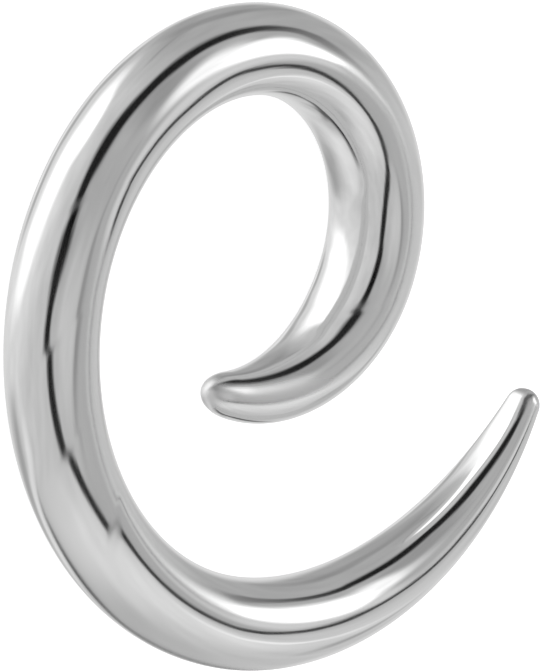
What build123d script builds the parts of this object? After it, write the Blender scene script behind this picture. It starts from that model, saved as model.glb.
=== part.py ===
"""Spiral ear taper: one polished steel rod, thinned to a rounded tip at both ends and wound flat.

The rod's centre line is a spiral that comes nearer to its pole by the same ratio in every turn,
wound clockwise as seen from above.  Its last stretch is bent a little further round, off the spiral.
The rod keeps its full gauge along the shank and thins towards each tip along a parabola, and each
tip ends in a part of a ball that runs on smoothly from the taper.  It lies flat, its spiral level.
"""
import os
from math import atan, cos, degrees, hypot, radians, sin

from build123d import *

# Gauge of the shank and the two thinned ends, in millimetres
shank_diameter = 6.0
outer_tip_diameter = 2.2
outer_taper_length = 30.0
inner_tip_diameter = 3.0
inner_taper_length = 16.0

# Spiral: the outer tip's reach from the pole in millimetres, how many times nearer one turn brings
# the rod, the bearing of the outer tip and the whole angle wound, in degrees
tip_reach = 26.9
turn_ratio = 2.62
tip_bearing = -10.0
sweep = 428.0

# Bend of the inner end off the spiral: its length, its bearing and the share of the sweep before it
end_bend = 2.6
end_bend_bearing = 173.0
bend_start = 0.6

# Spacing of the points that carry the centre line, in degrees of the sweep, and of the round
# sections along the rod, in millimetres
point_spacing = 6.0
section_spacing = 4.0


def centre_point(share):
    """Point of the centre line after this share of the sweep, counted from the outer tip."""
    bearing = radians(tip_bearing - sweep * share)
    reach = tip_reach * turn_ratio ** (-sweep * share / 360)
    bent = end_bend * max(0.0, (share - bend_start) / (1 - bend_start)) ** 2
    return (
        reach * cos(bearing) + bent * cos(radians(end_bend_bearing)),
        reach * sin(bearing) + bent * sin(radians(end_bend_bearing)),
    )


def thinning(tip_diameter, taper_length, distance):
    """How much of the shank's radius is gone at this distance from a tip: a parabola, then nothing."""
    return (shank_diameter - tip_diameter) / 2 * max(0.0, 1 - distance / taper_length) ** 2


def add_tip(rod, share, tip_diameter, taper_length):
    """Ball end, turned round the rod's own line, that meets the end section at the taper's slope."""
    radius = tip_diameter / 2
    slope = (shank_diameter - tip_diameter) / taper_length
    ball_radius = radius * hypot(1, slope)
    outward = rod.tangent_at(share) * (1 if share else -1)
    end = Plane(rod.position_at(share), x_dir=outward, z_dir=(0, 0, 1))
    with BuildSketch(end) as profile:
        with BuildLine():
            dome = CenterArc((-radius * slope, 0), ball_radius, 0, 90 - degrees(atan(slope)))
            Polyline(dome @ 1, (0, 0), dome @ 0)
        make_face()
    revolve(profile.sketch, axis=Axis(end.origin, end.x_dir))


with BuildPart() as rod_about_pole:
    with BuildLine():
        steps = round(sweep / point_spacing)
        rod = Spline(*[centre_point(step / steps) for step in range(steps + 1)])
    spans = round(rod.length / section_spacing)
    for span in range(spans + 1):
        share = span / spans
        outer_thinning = thinning(outer_tip_diameter, outer_taper_length, share * rod.length)
        inner_thinning = thinning(inner_tip_diameter, inner_taper_length, (1 - share) * rod.length)
        with BuildSketch(Plane(rod.position_at(share), x_dir=(0, 0, 1), z_dir=rod.tangent_at(share))):
            Circle(shank_diameter / 2 - outer_thinning - inner_thinning)
    loft()
    add_tip(rod, 0, outer_tip_diameter, outer_taper_length)
    add_tip(rod, 1, inner_tip_diameter, inner_taper_length)

# The origin lies under the middle of the whole outline, at the level that the shank rests on
outline = rod_about_pole.part.bounding_box()
origin = Vector(outline.center().X, outline.center().Y, outline.min.Z)

with BuildPart() as spiral_taper:
    add(rod_about_pole.part.moved(Location(-origin)))

spiral_taper.part.label = "spiral_taper"

os.makedirs("parts", exist_ok=True)
export_step(spiral_taper.part, "parts/spiral_taper.step")

print(f"rod {rod.length:.2f} mm long, pole at {-origin.X:.3f}, {-origin.Y:.3f}")
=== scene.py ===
from collections import namedtuple

import bpy
import numpy as np
from mathutils import Matrix, Vector


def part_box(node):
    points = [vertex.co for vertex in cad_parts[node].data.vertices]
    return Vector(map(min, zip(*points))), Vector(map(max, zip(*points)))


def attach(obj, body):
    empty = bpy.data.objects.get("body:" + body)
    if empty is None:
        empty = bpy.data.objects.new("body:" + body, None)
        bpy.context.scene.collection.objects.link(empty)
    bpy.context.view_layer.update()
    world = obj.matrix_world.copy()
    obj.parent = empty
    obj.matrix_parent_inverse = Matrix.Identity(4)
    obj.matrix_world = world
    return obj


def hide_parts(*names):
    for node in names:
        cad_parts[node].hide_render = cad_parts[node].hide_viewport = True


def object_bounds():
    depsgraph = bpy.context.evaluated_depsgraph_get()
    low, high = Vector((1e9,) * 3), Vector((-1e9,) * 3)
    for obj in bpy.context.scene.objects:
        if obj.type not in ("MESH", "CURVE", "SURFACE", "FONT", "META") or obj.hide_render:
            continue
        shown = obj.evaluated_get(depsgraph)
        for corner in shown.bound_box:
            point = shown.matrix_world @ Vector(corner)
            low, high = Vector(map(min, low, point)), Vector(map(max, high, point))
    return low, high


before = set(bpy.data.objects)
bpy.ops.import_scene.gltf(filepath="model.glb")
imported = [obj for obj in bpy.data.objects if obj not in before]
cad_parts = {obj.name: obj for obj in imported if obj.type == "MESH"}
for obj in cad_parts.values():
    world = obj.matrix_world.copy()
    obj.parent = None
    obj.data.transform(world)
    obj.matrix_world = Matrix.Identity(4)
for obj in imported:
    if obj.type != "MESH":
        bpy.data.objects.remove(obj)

MM = 0.001
TAPER_NODE = "spiral_taper"
cad_low, cad_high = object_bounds()

# Gauge and tips of the rod
SHANK_DIAMETER = 6.0 * MM
OUTER_TIP_DIAMETER = 2.2 * MM
OUTER_TAPER_LENGTH = 30.0 * MM
INNER_TIP_DIAMETER = 2.8 * MM
INNER_TAPER_LENGTH = 16.0 * MM

# The outer tip ends in a ball.  The inner one is drawn out: the rounding starts this far before the
# end of the centre line, and is this many times as long as it is wide.
OUTER_TIP_CUT, OUTER_TIP_STRETCH = 0.0, 1.0
INNER_TIP_CUT, INNER_TIP_STRETCH = 0.5 * MM, 1.85

# Spiral of the rod's centre line, wound clockwise as seen from above
TIP_REACH = 26.9 * MM
TURN_RATIO = 2.62
TIP_BEARING = np.radians(-10.0)
SWEEP = np.radians(428.0)

# Bend of the inner end off the spiral
END_BEND = 2.6 * MM
END_BEND_BEARING = np.radians(173.0)
BEND_START = 0.6

# What winding does to the round section: it grows narrower towards the outside of the turn and
# flatter in the spiral's level, each by a share of the bend (the radius over the turn's radius)
EGG_PER_BEND = 0.16
FLAT_PER_BEND = 0.15

# A patch of the surface: its start, end and the softness of its ends along the rod, in mm, and the
# angle from the outside of the turn that it is centred on and its spread round the rod, in degrees
Patch = namedtuple("Patch", "start end softness middle spread")

# Polishing by hand leaves the surface leaning a little in places, in passes that don't quite meet.
# Each pass has a patch, its lean round the rod, towards smaller angles, at the start and at the end
# of the patch, and its lean along the rod, towards the inner tip, in radians.
Pass = namedtuple("Pass", "patch round_at_start round_at_end along")
POLISHING_PASSES = (
    # Outer taper
    Pass(Patch(-2.0, 2.0, 0.5, 142, 30), 0.2, -0.14, 0.0),
    Pass(Patch(2.0, 10.0, 0.5, 142, 30), -0.14, 0.01, 0.0),
    Pass(Patch(10.0, 13.0, 0.5, 142, 30), 0.01, 0.07, 0.0),
    Pass(Patch(13.0, 22.0, 0.5, 142, 30), 0.07, 0.02, 0.0),
    Pass(Patch(-9.0, 6.0, 2.5, 151, 14), -0.5, -0.25, 0.0),
    Pass(Patch(-9.0, 5.0, 3.0, 200, 20), 0.25, 0.2, 0.0),
    Pass(Patch(-9.0, 19.0, 4.0, 115, 30), 0.0, 0.0, 0.15),
    Pass(Patch(2.0, 19.0, 4.0, 92, 16), 0.02, 0.09, 0.0),
    Pass(Patch(3.5, 14.5, 2.0, 149, 4), -0.4, -0.42, 0.28),
    Pass(Patch(6.0, 16.0, 3.0, 170, 12), 0.0, 0.0, -0.12),
    # Foot of the turn
    Pass(Patch(24.0, 50.0, 2.0, 8, 24), -0.25, -0.36, 0.0),
    Pass(Patch(32.0, 46.2, 0.3, 86, 24), 0.0, 0.2, 0.0),
    # Left arm, where the mirrored gap breaks into dashes, and the top of the turn
    Pass(Patch(51.1, 58.0, 0.3, 48, 40), -0.07, 0.02, 0.0),
    Pass(Patch(58.0, 66.1, 0.3, 48, 40), -0.05, 0.01, 0.0),
    Pass(Patch(66.1, 92.0, 0.3, 48, 40), -0.01, 0.08, 0.0),
    Pass(Patch(66.0, 82.0, 4.0, 95, 20), -0.08, -0.03, 0.0),
    # Right arm, where it breaks once more
    Pass(Patch(84.0, 98.0, 3.0, 105, 18), -0.04, -0.07, 0.0),
    Pass(Patch(94.0, 109.3, 0.3, 122, 25), -0.01, -0.05, 0.0),
    Pass(Patch(109.3, 114.0, 0.3, 118, 30), -0.1, 0.0, 0.0),
    Pass(Patch(101.0, 114.0, 1.0, 165, 25), 0.13, 0.13, 0.0),
    # Inner taper
    Pass(Patch(113.0, 121.0, 3.0, 127, 14), -0.01, -0.03, 0.0),
    Pass(Patch(122.5, 130.0, 1.0, 131, 22), 0.0, 0.0, -0.6),
)
# Passes in pairs, which lean towards the middle between them and widen what is mirrored there, or,
# where the lean is negative, away from it and narrow it.  Each has the patch between its passes,
# their angle off its middle, in degrees, and their lean at its start and at its end, in radians.
Pair = namedtuple("Pair", "patch off_middle lean_at_start lean_at_end")
POLISHING_PAIRS = (
    # Outer taper
    Pair(Patch(-3.0, 13.0, 3.0, 131, 12), 12, 0.15, 0.02),
    Pair(Patch(-9.0, 18.0, 4.0, 92, 8), 8, 0.06, 0.06),
    # Left arm and the top of the turn
    Pair(Patch(60.5, 65.0, 1.5, 42, 9), 9, 0.04, 0.04),
    Pair(Patch(68.0, 77.0, 1.5, 41, 9), 9, -0.03, 0.0),
    Pair(Patch(64.0, 78.0, 3.0, 94, 9), 10, 0.08, 0.08),
    Pair(Patch(78.0, 97.0, 3.0, 100, 9), 10, 0.08, 0.08),
    # Right arm and inner taper
    Pair(Patch(98.0, 108.0, 2.0, 122, 9), 8, 0.03, 0.03),
    Pair(Patch(110.0, 130.0, 1.5, 128, 12), 12, 0.01, 0.18),
)
# The patches' ends lie askew, by this many mm along the rod for each degree round it, up to this
# many degrees on either side of their middle
PATCH_SKEW = 0.06
SKEW_REACH = 40
# The leans of the passes fade out where a tip's end is narrower than this
PLAIN_END_WIDTH = 1.6 * MM

# Patches left nearer to satin than the mirror round them
MIRROR_ROUGHNESS = 0.09
Satin = namedtuple("Satin", "patch roughness")
SATIN_PATCHES = (
    # Joints between the passes
    Satin(Patch(44.6, 46.0, 0.4, 75, 25), 0.26),
    Satin(Patch(51.0, 51.6, 0.5, 52, 20), 0.22),
    Satin(Patch(57.7, 58.3, 0.5, 48, 20), 0.22),
    Satin(Patch(65.8, 66.4, 0.5, 44, 20), 0.22),
    Satin(Patch(108.9, 109.7, 0.5, 125, 25), 0.22),
    # Stretches that the mop reached less
    Satin(Patch(26.0, 50.0, 2.0, 12, 22), 0.26),
    Satin(Patch(33.0, 47.0, 1.5, 111, 15), 0.27),
    Satin(Patch(47.0, 65.0, 1.5, 102, 18), 0.26),
    Satin(Patch(94.0, 128.0, 2.0, 88, 18), 0.26),
    Satin(Patch(107.5, 112.5, 1.5, 112, 10), 0.26),
    Satin(Patch(89.5, 98.0, 1.5, 86, 13), 0.27),
    Satin(Patch(116.0, 130.0, 1.5, 104, 17), 0.4),
)
# Satin tips: where along the rod each turns from mirror to satin and how softly, in mm
SatinTip = namedtuple("SatinTip", "place softness roughness")
SATIN_OUTER_TIP = SatinTip(1.0, 1.5, 0.26)
SATIN_INNER_TIP = SatinTip(122.8, 0.8, 0.5)

# Grain that polishing leaves along the rod: the length, width and depth of a streak.  A real
# streak is far narrower than a pixel, so it is drawn as wide as it needs to be to show.
GRAIN_LENGTH = 7.0 * MM
GRAIN_WIDTH = 0.36 * MM
GRAIN_DEPTH = 0.004 * MM
GRAIN_DETAIL = 3.0

# How finely the surface is drawn, and how many steps of the spiral's formula stand behind a row
ROWS_ALONG = 1080
ROWS_ON_A_TIP = 24
POINTS_ROUND = 80
STEPS_PER_ROW = 20

# Photograph: its size in pixels, where the spiral's pole shows in it and the length that a pixel
# covers; the tilt of the spiral's level from the picture's, and its turn in that level
PHOTO_WIDTH, PHOTO_HEIGHT = 540, 672
POLE_PIXEL_X, POLE_PIXEL_Y = 256.7, 269.6
PIXEL_LENGTH = 0.06265 * MM
VIEW_TILT = np.radians(46.3)
VIEW_TURN = np.radians(-12.2)

# Camera: its sensor in mm, how many times as long its lens is, and what it sees, from the nearest
# to the farthest, as shares of its distance
SENSOR_WIDTH = 36.0
LENS_TO_SENSOR = 36.0
NEAREST_SEEN, FARTHEST_SEEN = 0.01, 10.0

# Table: half the length of its side, how strongly it glows, and its roughness
TABLE_HALF_SIDE = 2.0
TABLE_GLOW = 0.62
TABLE_ROUGHNESS = 0.8


def linear(hex_colour):
    """An sRGB colour such as "#C0C0C0" as linear red, green, blue and an alpha of 1."""
    srgb = np.array([int(hex_colour[k:k + 2], 16) for k in (1, 3, 5)]) / 255
    rgb = np.where(srgb <= 0.04045, srgb / 12.92, ((srgb + 0.055) / 1.055) ** 2.4)
    return (*rgb.tolist(), 1.0)


def add_node(tree, kind, inputs=None, output=0, **settings):
    """Adds a node with its settings and links, and returns one of its outputs.

    An input given as a socket is linked, and any other is that input's own value.
    """
    made = tree.nodes.new(kind)
    for name, value in settings.items():
        setattr(made, name, value)
    for key, value in (inputs or {}).items():
        if isinstance(value, bpy.types.NodeSocket):
            tree.links.new(value, made.inputs[key])
        else:
            made.inputs[key].default_value = value
    return made.outputs[output]


def centre_line(count):
    """Points of the rod's centre line, evenly spaced along it, with its tangents and distances.

    The reach from the pole falls by the same ratio in every turn, and past BEND_START a bend that
    grows with the square of the share of the sweep left moves the inner end off the spiral.
    """
    share = np.linspace(0, 1, STEPS_PER_ROW * count)
    bearing = TIP_BEARING - SWEEP * share
    reach = TIP_REACH * TURN_RATIO ** (-SWEEP * share / (2 * np.pi))
    bend = END_BEND * np.clip((share - BEND_START) / (1 - BEND_START), 0, None) ** 2
    fine = np.stack([
        reach * np.cos(bearing) + bend * np.cos(END_BEND_BEARING),
        reach * np.sin(bearing) + bend * np.sin(END_BEND_BEARING),
    ], axis=1)
    run = np.append(0, np.cumsum(np.linalg.norm(np.diff(fine, axis=0), axis=1)))
    distance = np.linspace(0, run[-1], count)
    points = np.stack([np.interp(distance, run, fine[:, axis]) for axis in (0, 1)], axis=1)
    tangents = np.gradient(points, distance, axis=0)
    return points, tangents / np.linalg.norm(tangents, axis=1)[:, None], distance


def rod_radius(distance):
    """Radius at each distance from the outer tip: full gauge, less a parabola over each taper."""
    outer = np.clip(1 - distance / OUTER_TAPER_LENGTH, 0, 1) ** 2
    inner = np.clip(1 - (distance[-1] - distance) / INNER_TAPER_LENGTH, 0, 1) ** 2
    return (
        SHANK_DIAMETER / 2
        - (SHANK_DIAMETER - OUTER_TIP_DIAMETER) / 2 * outer
        - (SHANK_DIAMETER - INNER_TIP_DIAMETER) / 2 * inner
    )


def tip_rows(point, outward, radius, slope, stretch):
    """Centres, radii and distances past the end section of a tip's rows, out to its pole.

    The tip is half an ellipsoid, stretch times as long as it is wide, that meets the end section
    at the taper's slope, and its rows stand at even angles round the circle that it is drawn from.
    """
    start = np.arctan(slope * stretch)
    half_width = radius / np.cos(start)
    angles = np.linspace(start, np.pi / 2, ROWS_ON_A_TIP + 1)[1:]
    steps = half_width * stretch * (np.sin(angles) - np.sin(start))
    return point + np.outer(steps, outward), half_width * np.cos(angles), steps


def rod_grid():
    """The rod's surface as rows of points round it, from the pole of one tip to the other's.

    A row lies square to the centre line.  At an angle a from the outside of the turn its radius is
    radius * (1 + egg * cos 3a - flat * cos 2a), where egg and flat grow with the bend.
    Also returns each row's distance along the rod and each column's angle.
    """
    points, tangents, distance = centre_line(ROWS_ALONG)
    radius = rod_radius(distance)
    slope = np.gradient(radius, distance)
    turning = np.linalg.norm(np.gradient(tangents, distance, axis=0), axis=1)
    kept = (distance >= OUTER_TIP_CUT) & (distance <= distance[-1] - INNER_TIP_CUT)
    points, tangents, distance, radius, slope, turning = (
        field[kept] for field in (points, tangents, distance, radius, slope, turning)
    )
    first = tip_rows(points[0], -tangents[0], radius[0], slope[0], OUTER_TIP_STRETCH)
    last = tip_rows(points[-1], tangents[-1], radius[-1], -slope[-1], INNER_TIP_STRETCH)
    centres = np.concatenate([first[0][::-1], points, last[0]])
    radii = np.concatenate([first[1][::-1], radius, last[1]])
    distance = np.concatenate([distance[0] - first[2][::-1], distance, distance[-1] + last[2]])
    tips = (ROWS_ON_A_TIP, ROWS_ON_A_TIP)
    along = np.pad(tangents, (tips, (0, 0)), mode="edge")
    bend = radii * np.pad(turning, tips, mode="edge")
    angle = np.linspace(0, 2 * np.pi, POINTS_ROUND, endpoint=False)
    shape = 1 + bend[:, None] * (EGG_PER_BEND * np.cos(3 * angle) - FLAT_PER_BEND * np.cos(2 * angle))
    outward = np.stack([-along[:, 1], along[:, 0]], axis=1)
    flat = centres[:, None] + (radii[:, None] * shape * np.cos(angle))[..., None] * outward[:, None]
    height = radii[:, None] * shape * np.sin(angle)
    return np.concatenate([flat, height[..., None]], axis=2), distance, angle


def smooth_step(value, middle, reach):
    """Rises from 0 to 1, with level ends, from the middle less the reach to the middle plus it."""
    share = np.clip((value - middle + reach) / (2 * reach), 0, 1)
    return share * share * (3 - 2 * share)


def lies_in(patch, distance, angle):
    """How much each point of the grid lies in the patch, and its share of the way along the patch.

    Across the patch the first falls off as exp(-(off / spread)^2), off being the angle off its
    middle, and along it there is a smooth step at each end.
    """
    off = (np.degrees(angle) - patch.middle + 180) % 360 - 180
    place = distance[:, None] / MM - PATCH_SKEW * np.clip(off, -SKEW_REACH, SKEW_REACH)
    past_start = smooth_step(place, patch.start, patch.softness)
    past_end = smooth_step(place, patch.end, patch.softness)
    way = np.clip((place - patch.start) / (patch.end - patch.start), 0, 1)
    return (past_start - past_end) * np.exp(-((off / patch.spread) ** 2)), way


def passes_of(pair):
    """The two passes of a pair, one on either side of the middle of its patch."""
    return [
        Pass(
            pair.patch._replace(middle=pair.patch.middle + side * pair.off_middle),
            side * pair.lean_at_start, side * pair.lean_at_end, 0.0,
        )
        for side in (-1, 1)
    ]


def polished_normals(grid, distance, angle):
    """Normals of the grid, leaning where the polishing passes left them.

    The plain normal is the cross product of the unit steps round and along the grid.  A pass takes
    its lean round the rod times the step round off it, and adds its lean along the rod times the
    step along.  The leans fall to nothing at the poles, in proportion to the row's width.
    """
    around = np.roll(grid, -1, axis=1) - np.roll(grid, 1, axis=1)
    along = np.gradient(grid, axis=0)
    normals = np.cross(around, along)
    normals[0], normals[-1] = normals[1].mean(0), normals[-2].mean(0)
    around, along, normals = (
        field / np.maximum(np.linalg.norm(field, axis=2, keepdims=True), np.finfo(float).tiny)
        for field in (around, along, normals)
    )
    width = 2 * np.linalg.norm(grid - grid.mean(axis=1, keepdims=True), axis=2).mean(axis=1)
    share_left = np.clip(width / PLAIN_END_WIDTH, 0, 1)[:, None]
    pairs = [made for pair in POLISHING_PAIRS for made in passes_of(pair)]
    for made in (*POLISHING_PASSES, *pairs):
        inside, way = lies_in(made.patch, distance, angle)
        round_it = made.round_at_start + (made.round_at_end - made.round_at_start) * way
        lean = made.along * along - round_it[..., None] * around
        normals += (share_left * inside)[..., None] * lean
    return normals / np.linalg.norm(normals, axis=2, keepdims=True)


def satin_roughness(distance, angle):
    """Roughness of each point of the grid: the mirror's, or that of the patches and tips it lies in.

    Each patch or tip in turn moves it towards its own by how much the point lies in it.
    """
    roughness = np.full((len(distance), len(angle)), MIRROR_ROUGHNESS)
    for satin in SATIN_PATCHES:
        roughness += lies_in(satin.patch, distance, angle)[0] * (satin.roughness - roughness)
    place = distance[:, None] / MM
    past_outer = smooth_step(place, SATIN_OUTER_TIP.place, SATIN_OUTER_TIP.softness)
    roughness += (1 - past_outer) * (SATIN_OUTER_TIP.roughness - roughness)
    in_inner = smooth_step(place, SATIN_INNER_TIP.place, SATIN_INNER_TIP.softness)
    roughness += in_inner * (SATIN_INNER_TIP.roughness - roughness)
    return roughness


def placed_on_frame(grid):
    """The grid moved so that the middle of its outline and its lowest point are the CAD node's."""
    low, high = (np.array(corner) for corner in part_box(TAPER_NODE))
    own_low, own_high = grid.min((0, 1)), grid.max((0, 1))
    shift = (low + high - own_low - own_high) / 2
    shift[2] = low[2] - own_low[2]
    return grid + shift, shift


def closed_rod(name, grid, normals, roughness, distance, angle):
    """Mesh object of a grid whose first and last rows are poles: quads between rows, and two fans.

    Its attributes are the roughness and the place in the grain: the distance along the rod in
    streaks' lengths, and a point of a circle round it in streaks' widths, so that it has no seam.
    """
    rows, around = grid.shape[:2]
    index = np.arange((rows - 2) * around).reshape(rows - 2, around)
    beside = np.roll(index, -1, axis=1)
    quads = np.stack([index[:-1], beside[:-1], beside[1:], index[1:]], axis=2).reshape(-1, 4)
    first_fan = np.stack([beside[0], index[0], np.full(around, index.size)], axis=1)
    last_fan = np.stack([index[-1], beside[-1], np.full(around, index.size + 1)], axis=1)
    length = np.broadcast_to(distance[:, None] / GRAIN_LENGTH, (rows, around))
    ring = SHANK_DIAMETER / 2 / GRAIN_WIDTH * np.stack([np.cos(angle), np.sin(angle)], axis=1)
    streaks = np.concatenate([length[..., None], np.broadcast_to(ring, (rows, around, 2))], axis=2)
    points, ways, places = (
        np.concatenate([field[1:-1].reshape(-1, 3), field[0, :1], field[-1, :1]])
        for field in (grid, normals, streaks)
    )
    faces = [*quads.tolist(), *first_fan.tolist(), *last_fan.tolist()]
    mesh = bpy.data.meshes.new(name)
    mesh.from_pydata(points.tolist(), [], faces)
    mesh.polygons.foreach_set("use_smooth", np.ones(len(mesh.polygons), bool))
    mesh.normals_split_custom_set_from_vertices(ways.tolist())
    finish = mesh.attributes.new("finish", "FLOAT", "POINT")
    at_poles = roughness[[0, -1], 0]
    finish.data.foreach_set("value", np.concatenate([roughness[1:-1].ravel(), at_poles]))
    grain = mesh.attributes.new("grain", "FLOAT_VECTOR", "POINT")
    grain.data.foreach_set("vector", places.ravel())
    made = bpy.data.objects.new(name, mesh)
    bpy.context.scene.collection.objects.link(made)
    return made


def mirror_polished_steel():
    """Surgical stainless steel, ground and then mopped to a mirror.

    The eye sees the studio in it, drawn out into long bands along the rod, with a faint grain.
    """
    material = bpy.data.materials.new("mirror_polished_steel")
    material.use_nodes = True
    tree = material.node_tree
    shader = tree.nodes["Principled BSDF"]
    shader.inputs["Base Color"].default_value = linear("#F0F0F0")
    shader.inputs["Metallic"].default_value = 1.0
    finish = add_node(tree, "ShaderNodeAttribute", output="Fac", attribute_name="finish")
    tree.links.new(finish, shader.inputs["Roughness"])
    grain = add_node(tree, "ShaderNodeAttribute", output="Vector", attribute_name="grain")
    streaks = add_node(tree, "ShaderNodeTexNoise", {
        "Vector": grain, "Scale": 1.0, "Detail": GRAIN_DETAIL,
    })
    bump = add_node(tree, "ShaderNodeBump", {
        "Height": streaks, "Strength": 1.0, "Distance": GRAIN_DEPTH,
    })
    tree.links.new(bump, shader.inputs["Normal"])
    return material


def white_table():
    """Opal acrylic sheet, lit from below as well as from above, which reads as plain white."""
    material = bpy.data.materials.new("opal_acrylic")
    material.use_nodes = True
    shader = material.node_tree.nodes["Principled BSDF"]
    shader.inputs["Base Color"].default_value = linear("#E0E0E0")
    shader.inputs["Roughness"].default_value = TABLE_ROUGHNESS
    shader.inputs["Emission Color"].default_value = linear("#FFFFFF")
    shader.inputs["Emission Strength"].default_value = TABLE_GLOW
    mesh = bpy.data.meshes.new("table")
    corners = [
        (x * TABLE_HALF_SIDE, y * TABLE_HALF_SIDE, cad_low.z)
        for x, y in ((-1, -1), (1, -1), (1, 1), (-1, 1))
    ]
    mesh.from_pydata(corners, [], [(0, 1, 2, 3)])
    mesh.materials.append(material)
    table = bpy.data.objects.new("table", mesh)
    bpy.context.scene.collection.objects.link(table)
    table.visible_glossy = False


def view_axes():
    """The picture's right and up, and the way back to the camera, in the frame's axes."""
    tilt_cos, tilt_sin = np.cos(VIEW_TILT), np.sin(VIEW_TILT)
    turn_cos, turn_sin = np.cos(VIEW_TURN), np.sin(VIEW_TURN)
    right = Vector((tilt_cos * turn_cos, -turn_sin, tilt_sin * turn_cos))
    up = Vector((tilt_cos * turn_sin, turn_cos, tilt_sin * turn_sin))
    back = Vector((-tilt_sin, 0, tilt_cos))
    return right, up, back


def add_camera(pole):
    """Long-lens camera at the photograph's angle, with the spiral's pole at its pixel there."""
    right, up, back = view_axes()
    data = bpy.data.cameras.new("camera")
    data.sensor_width = SENSOR_WIDTH
    data.lens = data.sensor_width * LENS_TO_SENSOR
    distance = PHOTO_HEIGHT * PIXEL_LENGTH * LENS_TO_SENSOR
    middle = (
        pole
        + right * ((PHOTO_WIDTH / 2 - POLE_PIXEL_X) * PIXEL_LENGTH)
        - up * ((PHOTO_HEIGHT / 2 - POLE_PIXEL_Y) * PIXEL_LENGTH)
    )
    camera = bpy.data.objects.new("camera", data)
    turned = Matrix((right, up, back)).transposed().to_4x4()
    camera.matrix_world = Matrix.Translation(middle + back * distance) @ turned
    data.clip_start, data.clip_end = distance * NEAREST_SEEN, distance * FARTHEST_SEEN
    bpy.context.scene.collection.objects.link(camera)
    bpy.context.scene.camera = camera


# Cards of the studio, from the back of the stack to its front.  A card is an ellipse on a mirror
# ball seen from the camera: its middle and half lengths as shares of the ball's radius, its turn in
# degrees, the softness of its edge and its brightness.
Card = namedtuple("Card", "name x y half_width half_height turn softness brightness")
CARDS = (
    Card("overhead drape", 0.15, 0.95, 0.75, 0.28, -5, 0.5, 0.38),
    Card("right drape", 0.45, 0.62, 0.5, 0.22, -30, 0.6, 0.43),
    Card("key spill", -0.65, 0.25, 0.5, 0.3, 54, 0.8, 0.85),
    Card("key softbox", -0.54, 0.38, 0.42, 0.145, 54, 0.3, 1.3),
    Card("key corner", -0.35, 0.54, 0.14, 0.13, 0, 0.25, 1.3),
    Card("drape fold", 0.14, 0.855, 0.28, 0.035, 0, 0.7, 0.32),
    Card("drape corner", -0.03, 0.76, 0.08, 0.02, 72, 0.7, 0.36),
    Card("upper backdrop", -0.565, 0.807, 0.25, 0.042, 35, 0.5, 0.95),
    Card("lower backdrop", -0.844, 0.507, 0.25, 0.042, 59, 0.5, 0.95),
    Card("upper edge", -0.5, 0.775, 0.16, 0.022, 32, 0.7, 0.45),
    Card("middle edge", -0.69, 0.612, 0.16, 0.022, 48, 0.7, 0.45),
    Card("lower edge", -0.83, 0.4, 0.16, 0.022, 64, 0.7, 0.45),
    Card("side flag", -0.76, -0.42, 0.2, 0.1, -65, 0.6, 0.4),
    Card("side reflector", -0.52, -0.6, 0.35, 0.09, -60, 0.7, 0.82),
    Card("low reflector", 0.35, -0.55, 0.4, 0.12, 5, 0.7, 0.76),
    Card("low shade", -0.05, -0.8, 0.35, 0.08, 0, 0.7, 0.48),
    Card("camera side", 0.42, 0.08, 0.42, 0.48, 0, 0.15, 0.44),
    Card("camera glow", 0.27, -0.17, 0.16, 0.15, 0, 0.8, 0.6),
    Card("camera shade", 0.42, 0.3, 0.16, 0.1, -35, 0.6, 0.34),
    Card("camera seam", 0.47, -0.15, 0.14, 0.035, 65, 0.8, 0.3),
    Card("side glow", 0.7, -0.06, 0.14, 0.04, 97, 0.6, 0.72),
    Card("small spill", 0.59, 0.2, 0.19, 0.09, 112, 0.45, 1.1),
    Card("small softbox", 0.695, 0.16, 0.21, 0.066, 108, 0.4, 1.6),
    Card("low strip", 0.63, -0.48, 0.09, 0.02, 175, 0.8, 0.95),
    Card("side seam", -0.26, -0.73, 0.2, 0.05, -50, 0.6, 0.0),
    Card("floor seam", 0.03, -0.9, 0.27, 0.024, -8, 0.6, 0.1),
    Card("floor edge", 0.66, -0.62, 0.13, 0.015, 40, 0.8, 0.42),
)

# Dark gap round the camera's side of the tent, at each angle in degrees about its middle on the
# ball: its reach and half width as shares of the ball's radius, and its brightness.  It is fully
# seen up to the first and out of sight past the second of its edges, in half widths.
GAP_MIDDLE = (0.38, 0.05)
GAP_EDGES = (0.7, 2.0)
Gap = namedtuple("Gap", "angle reach half_width brightness")
GAP = (
    Gap(0, 0.41, 0.012, 0.4),
    Gap(20, 0.45, 0.015, 0.35),
    Gap(40, 0.48, 0.018, 0.25),
    Gap(60, 0.52, 0.02, 0.16),
    Gap(80, 0.51, 0.035, 0.02),
    Gap(100, 0.45, 0.06, 0.01),
    Gap(120, 0.395, 0.06, 0.01),
    Gap(140, 0.383, 0.08, 0.01),
    Gap(155, 0.373, 0.05, 0.01),
    Gap(165, 0.365, 0.044, 0.0),
    Gap(185, 0.38, 0.047, 0.01),
    Gap(205, 0.455, 0.042, 0.01),
    Gap(222, 0.475, 0.034, 0.01),
    Gap(240, 0.462, 0.026, 0.01),
    Gap(260, 0.45, 0.021, 0.01),
    Gap(280, 0.447, 0.018, 0.01),
    Gap(300, 0.46, 0.012, 0.01),
    Gap(312, 0.45, 0.009, 0.01),
    Gap(322, 0.435, 0.009, 0.01),
    Gap(332, 0.41, 0.009, 0.01),
    Gap(345, 0.385, 0.008, 0.01),
    Gap(352, 0.39, 0.01, 0.2),
    Gap(360, 0.41, 0.012, 0.4),
)
TENT_BRIGHTNESS = 0.6
# Folds of the tent's cloth: how many cross the ball's radius, how finely they are drawn, and the
# share by which they lighten or darken it
FOLDS_ACROSS = 7.0
FOLD_DETAIL = 3.0
FOLD_SHADE = 0.2
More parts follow.
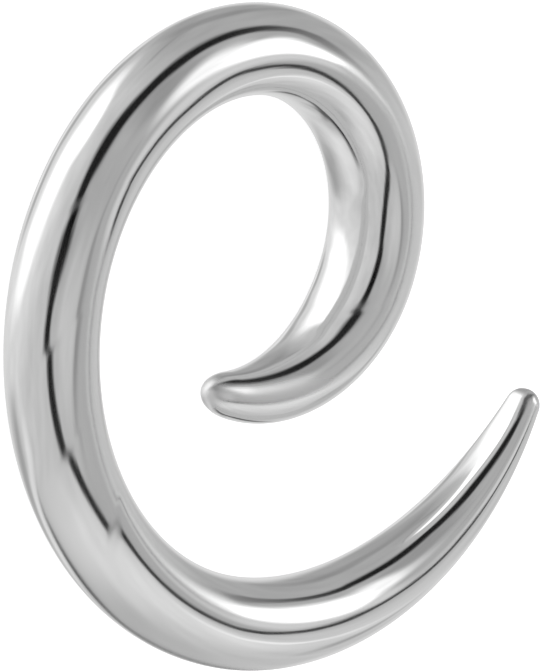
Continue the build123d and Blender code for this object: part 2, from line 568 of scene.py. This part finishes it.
# Backdrop behind the object, mirrored along the edge of the ball: it is fully seen past the first
# and out of sight before the second of these shares of the ball's radius
BACKDROP_BRIGHTNESS = 0.75
BACKDROP_EDGES = (0.99, 0.95)
# What lights the table and shows above it
SURROUND_BRIGHTNESS = 1.05


def laid_over(tree, level, brightness, measure, inside, outside):
    """Level of light with another brightness laid over it, with a soft edge.

    It is fully there where the measure is at its inside value, and gone at its outside value.
    """
    share = add_node(tree, "ShaderNodeMapRange", {
        "Value": measure, "From Min": outside, "From Max": inside,
    }, interpolation_type="SMOOTHSTEP")
    return add_node(tree, "ShaderNodeMix", {
        "Factor": share, "A": level, "B": brightness,
    }, data_type="FLOAT")


def with_cards(tree, ball, level):
    """Level of the tent with the cards standing before it, each measured as an ellipse."""
    for card in CARDS:
        local = add_node(tree, "ShaderNodeMapping", {
            "Vector": ball,
            "Location": (card.x, card.y, 0),
            "Rotation": (0, 0, np.radians(card.turn)),
            "Scale": (card.half_width, card.half_height, 1),
        }, vector_type="TEXTURE")
        away = add_node(tree, "ShaderNodeVectorMath", {0: local}, output="Value", operation="LENGTH")
        level = laid_over(tree, level, card.brightness, away, 1 - card.softness, 1 + card.softness)
    return level


def with_gap(tree, ball, level):
    """Level of the tent with the dark gap: a closed curve whose reach changes with the angle."""
    middle = (*GAP_MIDDLE, 0)
    away = add_node(tree, "ShaderNodeVectorMath", {0: ball, 1: middle}, operation="SUBTRACT")
    distance = add_node(tree, "ShaderNodeVectorMath", {0: away}, output="Value", operation="LENGTH")
    parts = add_node(tree, "ShaderNodeSeparateXYZ", {0: away}).node.outputs
    angle = add_node(tree, "ShaderNodeMath", {0: parts["Y"], 1: parts["X"]}, operation="ARCTAN2")
    turns = add_node(tree, "ShaderNodeMath", {0: angle, 1: 2 * np.pi}, operation="DIVIDE")
    turn = add_node(tree, "ShaderNodeMath", {0: turns}, operation="FRACT")
    at_turn = {}
    for column in ("reach", "half_width", "brightness"):
        points = [(row.angle / 360, getattr(row, column)) for row in GAP]
        at_turn[column] = add_node(tree, "ShaderNodeFloatCurve", {"Value": turn})
        mapping = at_turn[column].node.mapping
        curve = mapping.curves[0]
        curve.points[0].location, curve.points[1].location = points[0], points[-1]
        for point in points[1:-1]:
            curve.points.new(*point)
        mapping.update()
    past = add_node(tree, "ShaderNodeMath", {0: distance, 1: at_turn["reach"]}, operation="SUBTRACT")
    off_line = add_node(tree, "ShaderNodeMath", {0: past}, operation="ABSOLUTE")
    half_widths = add_node(tree, "ShaderNodeMath", {
        0: off_line, 1: at_turn["half_width"],
    }, operation="DIVIDE")
    return laid_over(tree, level, at_turn["brightness"], half_widths, *GAP_EDGES)


def studio_world():
    """White tent that the steel mirrors; everything else sees it as an even white.

    A direction's place on the mirror ball is that of the normal halfway between it and the way
    back to the camera's side, which is fixed in the studio.
    """
    world = bpy.data.worlds.new("studio")
    bpy.context.scene.world = world
    world.use_nodes = True
    tree = world.node_tree
    right, up, back = view_axes()
    towards = add_node(tree, "ShaderNodeTexCoord", output="Generated")
    half = add_node(tree, "ShaderNodeVectorMath", {0: towards, 1: back}, operation="ADD")
    normal = add_node(tree, "ShaderNodeVectorMath", {0: half}, operation="NORMALIZE")
    across, upward = (
        add_node(tree, "ShaderNodeVectorMath", {
            0: normal, 1: axis,
        }, output="Value", operation="DOT_PRODUCT")
        for axis in (right, up)
    )
    ball = add_node(tree, "ShaderNodeCombineXYZ", {0: across, 1: upward})
    level = with_gap(tree, ball, with_cards(tree, ball, TENT_BRIGHTNESS))

    folds = add_node(tree, "ShaderNodeTexNoise", {
        "Vector": ball, "Scale": FOLDS_ACROSS, "Detail": FOLD_DETAIL,
    })
    shading = add_node(tree, "ShaderNodeMath", {
        0: folds, 1: 2 * FOLD_SHADE, 2: 1 - FOLD_SHADE,
    }, operation="MULTIPLY_ADD")
    level = add_node(tree, "ShaderNodeMath", {0: level, 1: shading}, operation="MULTIPLY")
    rim = add_node(tree, "ShaderNodeVectorMath", {0: ball}, output="Value", operation="LENGTH")
    level = laid_over(tree, level, BACKDROP_BRIGHTNESS, rim, *BACKDROP_EDGES)

    # What the steel mirrors of itself sees a plain tent, and what isn't mirrored sees the surround
    path = add_node(tree, "ShaderNodeLightPath").node.outputs
    level = laid_over(tree, level, TENT_BRIGHTNESS, path["Glossy Depth"], 2, 1)
    level = laid_over(tree, level, SURROUND_BRIGHTNESS, path["Is Glossy Ray"], 0, 1)
    background = tree.nodes["Background"]
    tree.links.new(level, background.inputs["Strength"])
    background.inputs["Color"].default_value = linear("#FFFFFF")


grid, distance, angle = rod_grid()
grid, pole_shift = placed_on_frame(grid)
taper = closed_rod(
    "steel_taper", grid, polished_normals(grid, distance, angle), satin_roughness(distance, angle),
    distance, angle,
)
taper.data.materials.append(mirror_polished_steel())
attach(taper, "root")
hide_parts(TAPER_NODE)
white_table()
studio_world()
add_camera(Vector(pole_shift))
bpy.context.scene.view_settings.view_transform = "Standard"
